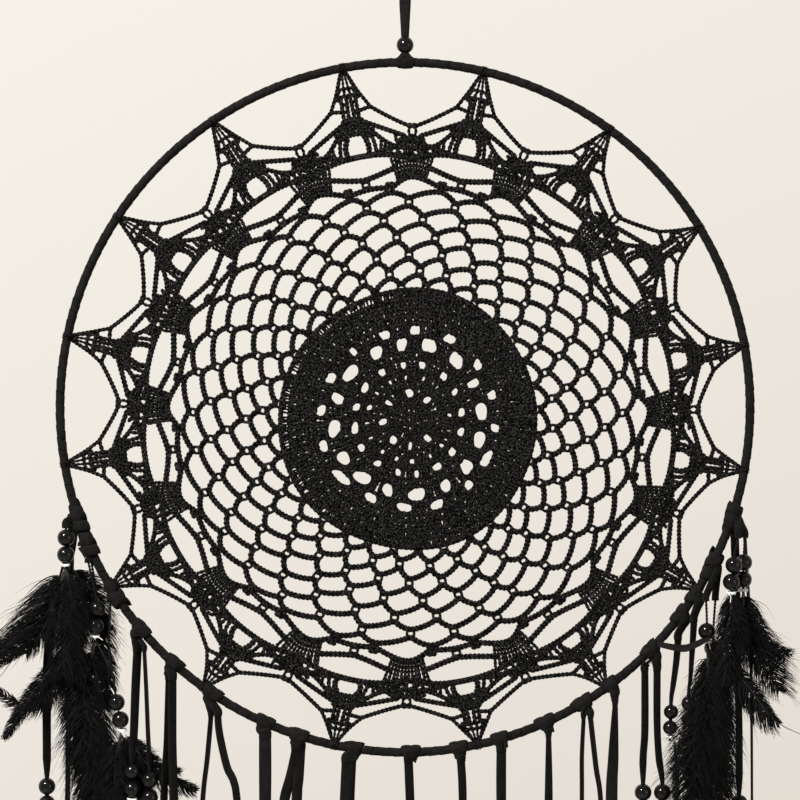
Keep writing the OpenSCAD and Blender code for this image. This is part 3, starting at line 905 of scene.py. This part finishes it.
def under_bead(centre, d, depth):
    """Where the binding starts, under a ribbon's lower bead."""
    return in_space([(centre[0], centre[1] - d / 2 / MM - 0.4)], depth)[0]


def ribbon_tails():
    """The fringe: every ribbon's tails with their beads and bindings."""
    rng = random.Random(5)
    for number, (_, hinge, tails) in enumerate(RIBBONS, 1):
        node = f"ribbon_{number:02d}"
        bind = Solid()
        for k, (depth, turns, route) in enumerate(tails):
            name = f"{node}_tail_{k + 1}"
            beads = RIBBON_BEADS.get((number, k))
            if beads is None:
                ribbon_tail(name, depth, turns, route, hinge, node, node)
                continue
            d, *centres = beads
            strung = beads_piece(f"{name}_beads", centres, depth, d, node, f"{node}_beads")
            ribbon_tail(name, depth, turns, route, hinge, node, node, centres, d)
            binding_turns(bind, under_bead(centres[1], d, depth), rng)
        if bind.count:
            place(bind, f"{node}_thread", THREAD, node, f"{node}_bindings")


def side_ribbons():
    """The long ribbons behind the outer drops."""
    rng = random.Random(6)
    for drop, (node, tails) in SIDE_RIBBONS.items():
        hinge, body = DROPS[drop][1], f"{drop}_drop"
        for k, (depth, turns, route, centres) in enumerate(tails):
            strung = []
            if centres:
                strung = [beads_piece(f"{node}_beads", centres, depth, BEAD_D, body)]
                bind = Solid()
                binding_turns(bind, under_bead(centres[1], BEAD_D, depth), rng)
                place(bind, f"{node}_thread", THREAD, body)
            ribbon_tail(f"{node}_{k + 1}", depth, turns, route, hinge, body, node, centres, BEAD_D)


STRING_D = 1.6  # millimetres, as the stitches' widths are
BINDING_LIFT = 3.8 * MM


def drop_strings():
    """The beaded strings of the feather drops."""
    rng = random.Random(7)
    for drop, (_, hinge, strings) in DROPS.items():
        body, bind = f"{drop}_drop", Solid()
        for k, (depth, route, centres) in enumerate(strings):
            path = smooth(in_space([(route[0][0], hinge + 2)] + route, depth), 6)
            solid = Solid()
            post(solid, resample(path, 60), STRING_D, 0.48, 4)
            cord = place(solid, f"{drop}_string_{k + 1}", RIBBON, body, f"{drop}_strings")
            d = SMALL_BEAD_D if (drop, k) == ("left_inner", 1) else BEAD_D
            strung = beads_piece(f"{drop}_string_{k + 1}_beads", centres, depth, d, body, f"{drop}_beads")
            binding_turns(bind, path[-1] + np.array([0, 0, BINDING_LIFT]), rng)
        place(bind, f"{drop}_thread", THREAD, body, f"{drop}_bindings")


def hoop_turns(solid, angle, rng, width=RIBBON_W, turns=2, spread=0.0):
    """Turns of ribbon round the hoop, crossing at the front."""
    lean = rng.uniform(0.5, 1.0) * rng.choice((-1, 1))
    turn = np.linspace(0, 2 * np.pi, 37) + np.pi
    for step in range(turns):
        lift = (0.4 + 0.6 * step) * MM
        drift = (-1) ** step * lean * np.linspace(-1, 1, 37) + spread * (step - 0.5 * (turns - 1))
        path = ring_point(angle + drift, HOOP_T / 2 + lift + 0.12 * MM * np.sin(3 * turn), turn)
        along = ring_point(angle + drift + 0.5, 0, turn) - ring_point(angle + drift - 0.5, 0, turn)
        solid.strip(path, unit(along), width * (1 - 0.1 * step), RIBBON_T, -0.14)


def stub(solid, angle, x, depth, hinge, turned, width=RIBBON_W):
    """A ribbon's way from its turns on the hoop down to the hinge, where its tail takes over."""
    face = 1 if depth < 6 else -1
    start = ring_point(np.array(angle), HOOP_T / 2 + 1.5 * MM, np.array(face * 0.62 * np.pi))
    over = ring_point(np.array(angle), HOOP_T / 2 + 1.7 * MM, np.array(face * 0.2 * np.pi))
    low = in_space([(x, hinge + 2.2), (x, hinge - 0.9)], depth)
    path = smooth([start, over, (over + low[0]) / 2 + [0, -0.4 * MM * face, 0], low[0], low[1]], 6)
    share = np.linspace(0, 1, len(path))[:, None] ** 0.7
    along = unit(ring_point(angle + 0.5, 0, 0) - ring_point(angle - 0.5, 0, 0))
    end = ribbon_frame(path, (turned, turned))
    end = end * np.sign((end @ along)[:, None] + 1e-9)
    solid.strip(path, (1 - share) * along + share * end, width + 0.3 * MM, 1.15 * MM, 0.06)


def knots():
    """The knots of the fringe and the wider straps that hold the drops."""
    rng = random.Random(3)
    fringe, straps = Solid(), Solid()
    for angle, hinge, tails in RIBBONS:
        hoop_turns(fringe, angle, rng, spread=0.5 * (len(tails) - 1))
        for depth, turns, route in tails:
            stub(fringe, angle, route[0][0], depth, hinge, turns[0])
    for drop, (angle, hinge, strings) in DROPS.items():
        hoop_turns(straps, angle, rng, 7.5 * MM, 3, 1.1)
        for depth, route, _ in strings:
            stub(straps, angle, route[0][0], depth, hinge, 30, 4.6 * MM)
        for depth, turns, route, _ in SIDE_RIBBONS.get(drop, (None, []))[1]:
            stub(straps, angle, route[0][0], depth, hinge, turns[0])
    path = smooth(in_space([(144, -135), (158, -137.4), (166, -135), (173, -131.4)], -7.5), 8)
    fringe.strip(path, ribbon_frame(path, (70, 58, 74)), RIBBON_W, RIBBON_T)
    place(fringe, "ribbon_hitches", RIBBON, "hoop", "ribbon_knots")
    place(straps, "drop_strap_turns", RIBBON, "hoop", "drop_straps")


ribbon_tails()
side_ribbons()
drop_strings()
knots()


# ---- hanging loop


def hanging_loop():
    """One ribbon folded over the nail, its two halves down through the bead and into the knot."""
    eye, tip = 6.4, -36
    route = [(0.1, -88.2), (0.1, -80), (0.2, -60), (0.3, -44), (0.9, -34), (3.7, -21), (6.2, -12)]
    arc = [(eye * math.cos(t), -5.5 + eye * math.sin(t)) for t in np.radians((15, 45, 75, 105, 135, 165))]
    route = route + arc + [(-x, z) for x, z in route[::-1]]
    path = smooth(np.array([(x, 0, z) for x, z in route], float) * MM, 6)
    share = np.linspace(-1, 1, len(path))
    path[:, 1] = np.interp(share, (-0.42, -0.2, 0.2, 0.42), (-1.15, 0, 0, 1.15)) * MM
    fine = resample(path, 150)
    high = np.clip((fine[:, 2] / MM - tip + 22) / 26, 0, 1)[:, None]
    high = high * high * (3 - 2 * high)
    flat = unit(np.cross(tangents(fine), Y_AXIS))
    narrow = np.clip((fine[:, 2] / MM + 79) / 20, 0, 1)
    solid = Solid()
    width = 4.2 + 2.0 * narrow
    solid.strip(fine, (1 - high) * flat + high * Y_AXIS, width * MM, 7 / width * MM, 0.06)
    piece = place(solid, "hanging_loop_ribbon", RIBBON, "loop", "hanging_loop")


def top_bead():
    """The bead on the hanging loop."""
    low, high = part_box("top_bead")
    centre = np.array((low + high) / 2)
    solid = Solid()
    solid.bead(centre, high.x - low.x, 2.0 * MM)
    place(solid, "top_bead_turned", GLOSS, "bead", "top_bead")


def loop_knot():
    """The loop's ends spread from under the bead and hitch round the top of the hoop."""
    solid = Solid()
    seat, top = HOOP_T / 2 + 0.25 * MM, HOOP_Z + HOOP_R
    turn = np.linspace(0, 2 * np.pi, 41)
    for step, (shift, lean) in enumerate(((-2.0, 0.8), (2.0, -0.8), (0.0, 0.3))):
        r = seat + (0.14 * step + 0.08 * np.sin(3 * turn)) * MM
        x = (shift + lean * np.cos(turn)) * MM
        path = np.stack([x, r * np.cos(turn), top + r * np.sin(turn)], 1)
        solid.strip(path, np.broadcast_to(X_AXIS, path.shape), 4.8 * MM, RIBBON_T, 0.12)
    for side in (-1, 1):
        for face in (-1, 1):
            fall = np.array([(0.5, 1.0, 5.6), (1.3, 2.0, 4.2), (2.6, 2.9, 2.2), (3.4, 3.1, 0.2)])
            path = smooth(fall * [side, face, 1] * MM + [0, 0, top], 6)
            across = np.broadcast_to([1, 0, -0.5 * side], path.shape)
            solid.strip(path, across, 3.4 * MM, RIBBON_T, 0.1)
    place(solid, "loop_hitch", RIBBON, "knot", "loop_knot")


hanging_loop()
top_bead()
loop_knot()


# ---- feathers

# Each owner's feathers that are seen from the front: half width, how much longer the barbs on the right are,
# the depths of the two ends, how loose the barbs are, the share of the quill that carries them, and route.
# Then those that hang edge on: x, depth and the heights of the two ends.
FLAT_FEATHERS = {
    "left_outer": [
        (11.5, -0.85, -6, -12, 0.25, 1, [(-194, -94), (-203, -116), (-214, -134), (-232, -147)]),
        (11, -0.5, -6, -11, 0.3, 1, [(-194, -94), (-199, -110), (-205, -124), (-216, -140)]),
        (10, 0, -6, -10, 0.3, 1, [(-194, -94), (-195, -112), (-194, -130), (-195, -152)]),
        (8, 0, -6, -8, 0.4, 1, [(-194, -94), (-189, -110), (-187.5, -132), (-188, -156)]),
        (8, 0.2, 2, 9, 0.3, 1, [(-192, -94), (-181, -104), (-176, -124), (-174, -150)]),
        (7, 0, 1, -3, 0.4, 1, [(-193, -138), (-197, -152), (-205, -164), (-214, -170)]),
        (4.5, 0, 1, -5, 0.2, 1, [(-193, -138), (-203, -150), (-216, -168), (-229, -189)]),
        (4.5, 0, 1, 2, 0.2, 1, [(-193, -138), (-204, -164), (-218, -172), (-236, -160)]),
        (9, 0, 2, 3, 0.5, 1, [(-192, -138), (-189, -158), (-187, -180), (-187, -206)]),
    ],
    "left_inner": [
        (14, 0, -2, 3, 0.5, 1, [(-177.4, -136), (-182, -160), (-181, -190), (-179, -226)]),
        (5, 0, 0, 3, 0.1, 1, [(-177.4, -136), (-171, -146), (-170, -158), (-172, -172)]),
        (13, 0, 4, 4, 0.5, 1, [(-176.5, -179), (-178, -195), (-175, -215), (-178, -240)]),
    ],
    "left_lower": [
        (10, 0, -3, 2, 0.5, 1, [(-162.3, -189), (-165, -206), (-164, -228), (-166, -262)]),
        (8, 0, 0, 5, 0.5, 1, [(-162, -189), (-157, -204), (-152, -222), (-150, -246)]),
        (6, 0, -3, 4, 0.35, 1, [(-161.5, -189), (-152, -196), (-138, -212), (-120, -220)]),
    ],
    "right_inner": [
        (13, 0, -3, -10, 0.5, 1, [(173, -140), (173, -172), (164, -205), (160, -240)]),
        (12, 0, -1, -6, 0.5, 1, [(174, -140), (177, -172), (173, -205), (175, -244)]),
        (10, 0, 4, 4, 0.5, 1, [(176.4, -149), (179, -172), (179, -203), (184, -236)]),
        (7, -0.3, -3, -14, 0.05, 0.78, [(173, -140), (193, -156), (209, -177), (227, -187)]),
    ],
    "right_outer": [
        (9, 0, -5, -8, 0.3, 1, [(186, -106), (187, -122), (186, -138), (184, -158)]),
        (11, 0.2, 5, 0, 0.45, 1, [(194, -107), (196, -126), (203, -143), (214, -162)]),
        (5, 0.2, 5, 6, 0.7, 1, [(194, -107), (197, -124), (206, -136), (222, -142)]),
    ],
}
EDGE_FEATHERS = {
    "ribbon_01": [
        (-156, -3, -226, -330),
        (-146, -3, -231, -336),
    ],
    "ribbon_13": [
        (136, -3, -238, -342),
        (147, -3, -238, -336),
    ],
    "ribbon_14": [
        (154, -3, -191, -276),
    ],
    "ribbon_15": [
        (162, -3, -186, -272),
    ],
    "left_outer": [
        (-206, 9, -236, -340),
    ],
    "right_outer": [
        (192.5, 12, -246, -348),
    ],
}


EDGE_HALF = 10.5 * MM
EDGE_BARBS = 260
BARB_GAP = 0.33 * MM
QUILL_RISE = 2.4
# Loose barbs are pressed flat past these depths, to this share of how far they would stand.
FEATHER_FRONT = -22.5 * MM
FEATHER_BACK = 30 * MM
PRESSED = 0.04
BARB_W = 1.1 * MM


def barbs(solid, quill, flat, half, rng, count, fluff, bare=1.0, skew=0.0):
    """The barbs of one feather: curved and tapering, on both sides of its quill, some of them loose."""
    along = tangents(quill)
    flat = unit(flat - (flat * along).sum(1, keepdims=True) * along)
    through = np.cross(along, flat)
    t = np.linspace(0, 1, 7)[:, None]
    spots = (np.arange(count)[:, None] + rng.random((count, 2))) / count
    for k, s in enumerate(spots.ravel() * 0.92 + 0.08):
        side = 1 - 2 * (k % 2)
        at = s * bare * (len(quill) - 1)
        i = min(int(at), len(quill) - 2)
        base = quill[i] + (quill[i + 1] - quill[i]) * (at - i)
        shape = math.sin(math.pi * min(1, 0.02 + 0.96 * s) ** 0.8) ** 0.6 if s < 0.97 else 0.1
        shape *= 1 + side * skew
        loose = rng.random() < 0.12 + fluff * 0.7
        rise = math.radians(48 - 16 * s + (rng.uniform(-22, 26) if loose else rng.uniform(-6, 8)))
        span = half * (shape * rng.uniform(0.85, 1.1) + 0.12) / max(0.5, math.sin(rise))
        span *= rng.uniform(0.85, 1.5) if loose else 1
        aim = math.cos(rise) * along[i] + side * math.sin(rise) * flat[i]
        lift = rng.normal(0, 0.3 if loose else 0.12)
        end = base + span * (aim + lift * through[i] - [0, 0, 0.1])
        curl = span * (rng.uniform(-0.3, 0.0) * along[i] + rng.uniform(-0.12, 0.12) * through[i])
        path = base + (end - base) * t + curl * 4 * t * (1 - t)
        if loose:
            wave = 0.06 * span * np.sin(t * rng.uniform(5, 10))
            path = path + wave * (through[i] + rng.uniform(-1, 1) * flat[i])
        thin = BARB_W * (0.26 if loose else 0.5) * (1 - 0.86 * t[:, 0])
        turn = np.array([0.0, 2.1, 4.2]) + rng.uniform(0, 1)
        across = unit(np.cross(end - base, through[i]))
        rim = np.cos(turn)[:, None] * across + 0.4 * np.sin(turn)[:, None] * through[i]
        near = np.clip(path[:, 1], FEATHER_FRONT, FEATHER_BACK)
        path[:, 1] = near + PRESSED * (path[:, 1] - near)
        solid.loft(path[:, None] + thin[:, None, None] * rim)


def feather(solid, quills, route, flat, half, rng, count, fluff, bare=1.0, skew=0.0):
    """One feather on its tapering quill."""
    quill = resample(smooth(route, 8), 30)
    quills.tube(quill, np.linspace(0.75, 0.14, 30) * MM, 6, X_AXIS * 0.2 + Y_AXIS)
    barbs(solid, quill, np.broadcast_to(flat, quill.shape), half, rng, count, fluff, bare, skew)


def feathers():
    """Every feather with smaller ones beside it, as they are bundled."""
    rng = np.random.default_rng(21)
    for owner in sorted(FLAT_FEATHERS | EDGE_FEATHERS):
        solid, quills = Solid(), Solid()
        for half, skew, near, far, fluff, bare, route in FLAT_FEATHERS.get(owner, []):
            route = [(route[0][0], route[0][1] + QUILL_RISE)] + route[1:]
            path = in_space(route, np.linspace(near, far, len(route)))
            flat = unit(np.cross(path[-1] - path[0], Y_AXIS))
            count = int(run_of(path)[-1] / BARB_GAP)
            feather(solid, quills, path, flat, half * MM, rng, count, fluff, bare, skew)
            share = np.linspace(0, 1, len(path))[:, None]
            bundled = bare == 1 and half > 5 and skew > -0.5
            for side in (-1, 1) if bundled else ():
                aside = side * MM * (0.5 * half * share**1.3 * flat + 1.4 * share * Y_AXIS)
                beside = path[0] + (path - path[0]) * rng.uniform(0.6, 0.85) + aside
                small = half * 0.75 * MM
                feather(solid, quills, beside, flat, small, rng, count // 2, fluff + 0.15, 1, skew)
        for x, depth, top, low in EDGE_FEATHERS.get(owner, []):
            bow = 1.2 * np.sin(np.linspace(0, np.pi, 5))
            path = in_space(np.stack([x + bow, np.linspace(top, low, 5)], 1), depth)
            feather(solid, quills, path, Y_AXIS, EDGE_HALF, rng, EDGE_BARBS, 0.15)
        body = owner if owner.startswith("ribbon") else f"{owner}_drop"
        place(solid, f"{owner}_barbs", BARB, body, f"{owner}_feathers")
        place(quills, f"{owner}_quills", QUILL, body, f"{owner}_feathers")


feathers()


# ---- camera, light and stage

FLOOR_R = 3
FLOOR_Z = -1.2


def camera():
    """The photograph's viewpoint: straight on, from some way off."""
    data = bpy.data.cameras.new("main_camera")
    data.lens = 141.5
    data.sensor_width = 36
    data.clip_end = 50
    item = new_object("main_camera", data)
    item.location = (-0.0029, -1.8, -0.2858)
    item.rotation_euler = (math.radians(90), 0, 0)
    bpy.context.scene.camera = item


def area_light(name, where, aim, size, power, tint):
    """A round soft light that points from where it is at its aim."""
    data = bpy.data.lights.new(name, "AREA")
    data.shape = "DISK"
    data.size = size
    data.energy = power
    data.color = tint
    item = new_object(name, data)
    item.location = where
    direction = np.array(aim, float) - np.array(where, float)
    flat = math.hypot(direction[0], direction[1])
    item.rotation_euler = (math.atan2(flat, -direction[2]), 0, math.atan2(-direction[0], direction[1]))


def world():
    """A pale warm room, a little dimmer below, and dimmer still on the side that the object faces."""
    n = Nodes("pale_room", bpy.data.worlds, "Background", "Generated")
    bpy.context.scene.world = n.owner
    slope = n.add("ShaderNodeVectorMath", operation="DOT_PRODUCT")
    slope.inputs[1].default_value = (-0.4, 0, 0.8)
    n.link(n.coords, slope.inputs[0])
    rise = n.span(slope.outputs["Value"], 0, 1, -0.15, 0.15)
    n.colour(rise, (0.775, 0.72, 0.65), (0.93, 0.89, 0.815), 0, 1, "Color")
    facing = n.add("ShaderNodeSeparateXYZ")
    n.link(n.coords, facing.inputs[0])
    strength = n.span(facing.outputs["Y"], 0.42, 1, -0.6, 0.5, "SMOOTHSTEP")
    n.link(strength, n.shader.inputs["Strength"])
    bpy.context.scene.view_settings.view_transform = "Standard"


def floor():
    """A pale round floor below the longest ribbons."""
    data = bpy.data.meshes.new("studio_floor")
    turn = 2 * np.pi * np.arange(64) / 64
    rim = [(FLOOR_R * math.cos(t), FLOOR_R * math.sin(t), FLOOR_Z) for t in turn]
    data.from_pydata(rim, [], [list(range(64))])
    n = Nodes("pale_floor")
    n.colour(n.noise(3, 3), (0.42, 0.4, 0.37), (0.47, 0.45, 0.42))
    data.materials.append(n.owner)
    new_object("studio_floor", data)


camera()
area_light("key_light", (-1.2, -1.7, 1.3), (0, 0, -0.3), 0.3, 150, (1, 0.97, 0.93))
area_light("fill_light", (1.8, -1.6, -0.2), (0, 0, -0.4), 1.5, 12, (0.95, 0.97, 1))
world()
floor()
